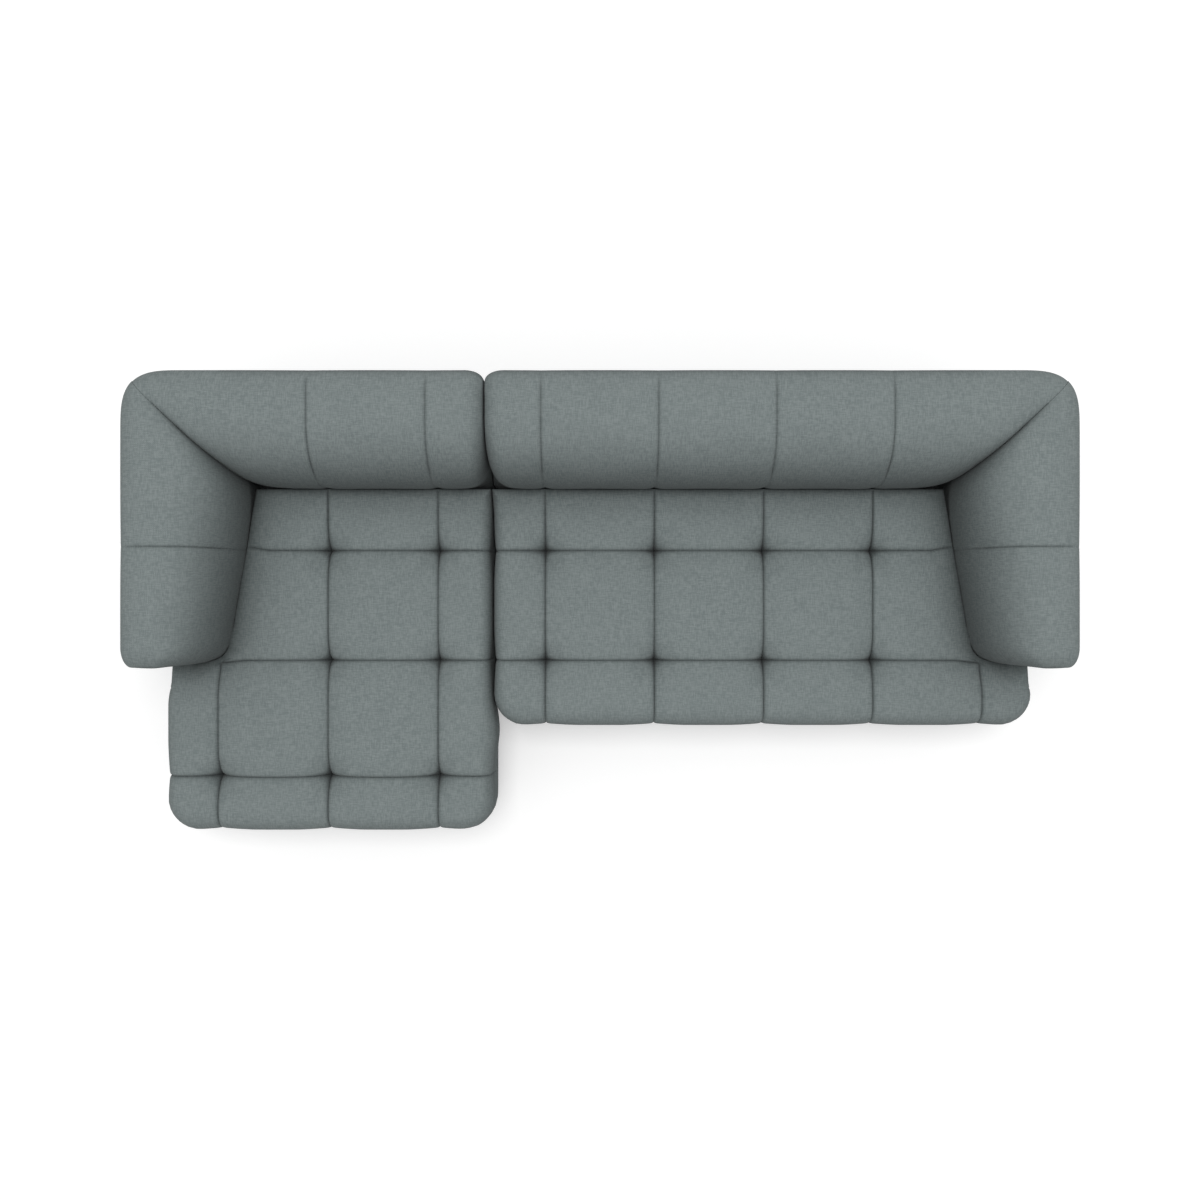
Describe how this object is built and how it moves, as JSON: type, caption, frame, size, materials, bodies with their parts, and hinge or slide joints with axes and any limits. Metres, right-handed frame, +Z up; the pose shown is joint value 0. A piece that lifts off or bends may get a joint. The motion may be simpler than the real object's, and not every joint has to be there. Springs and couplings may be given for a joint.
{
  "type": "modular sofa",
  "caption": "Low modular corner sofa: a chaise module with a back and one arm, hooked to a wider settee module with a back and one arm, with quilted seats and padded back and arms.",
  "frame": {"origin": "on the floor, at the middle of the outline of the whole sofa", "axes": "+X to the right for someone who looks at the sofa from its front, along its width; +Y towards the back; +Z up. The seats face -Y."},
  "size_m": [2.82, 1.412, 0.745],
  "materials": {
    "cover_fabric": "matte",
    "foam": "matte",
    "timber": "matte",
    "plywood": "matte",
    "webbing": "matte",
    "dust_cloth": "matte",
    "leg_wood": "satin",
    "felt": "matte",
    "steel": "satin"
  },
  "bodies": {
    "chaise": {"chaise_arm_cover": "cover_fabric", "chaise_arm_foam": "foam", "chaise_arm_front_post": "timber", "chaise_arm_side_rail": "timber", "chaise_arm_top_rail": "timber", "chaise_back_board": "plywood", "chaise_back_cover": "cover_fabric", "chaise_back_foam": "foam", "chaise_back_joint_post": "timber", "chaise_back_outer_post": "timber", "chaise_back_rail": "timber", "chaise_back_top_rail": "timber", "chaise_dust_cover": "dust_cloth", "chaise_front_arm_glide": "felt", "chaise_front_arm_leg": "leg_wood", "chaise_front_joint_glide": "felt", "chaise_front_joint_leg": "leg_wood", "chaise_front_rail": "timber", "chaise_joint_side_rail": "timber", "chaise_rear_arm_glide": "felt", "chaise_rear_arm_leg": "leg_wood", "chaise_rear_joint_glide": "felt", "chaise_rear_joint_leg": "leg_wood", "chaise_seat_cover": "cover_fabric", "chaise_seat_foam": "foam", "chaise_seat_rear_rail": "timber", "chaise_webbing": "webbing", "chaise_front_receiver": "steel", "chaise_rear_receiver": "steel", "chaise_middle_stretcher": "timber"},
    "settee": {"settee_arm_cover": "cover_fabric", "settee_arm_foam": "foam", "settee_arm_front_post": "timber", "settee_arm_side_rail": "timber", "settee_arm_top_rail": "timber", "settee_back_board": "plywood", "settee_back_cover": "cover_fabric", "settee_back_foam": "foam", "settee_back_joint_post": "timber", "settee_back_outer_post": "timber", "settee_back_rail": "timber", "settee_back_top_rail": "timber", "settee_dust_cover": "dust_cloth", "settee_front_arm_glide": "felt", "settee_front_arm_leg": "leg_wood", "settee_front_joint_glide": "felt", "settee_front_joint_leg": "leg_wood", "settee_front_rail": "timber", "settee_joint_side_rail": "timber", "settee_rear_arm_glide": "felt", "settee_rear_arm_leg": "leg_wood", "settee_rear_joint_glide": "felt", "settee_rear_joint_leg": "leg_wood", "settee_seat_cover": "cover_fabric", "settee_seat_foam": "foam", "settee_seat_rear_rail": "timber", "settee_webbing": "webbing", "settee_front_pin": "steel", "settee_rear_pin": "steel", "settee_middle_stretcher": "timber"}
  },
  "joints": [
    {"name": "module_lift", "type": "slide", "parent": "chaise", "child": "settee", "axis": [0, 0, 1], "range_m": [0, 0.06]}
  ]
}
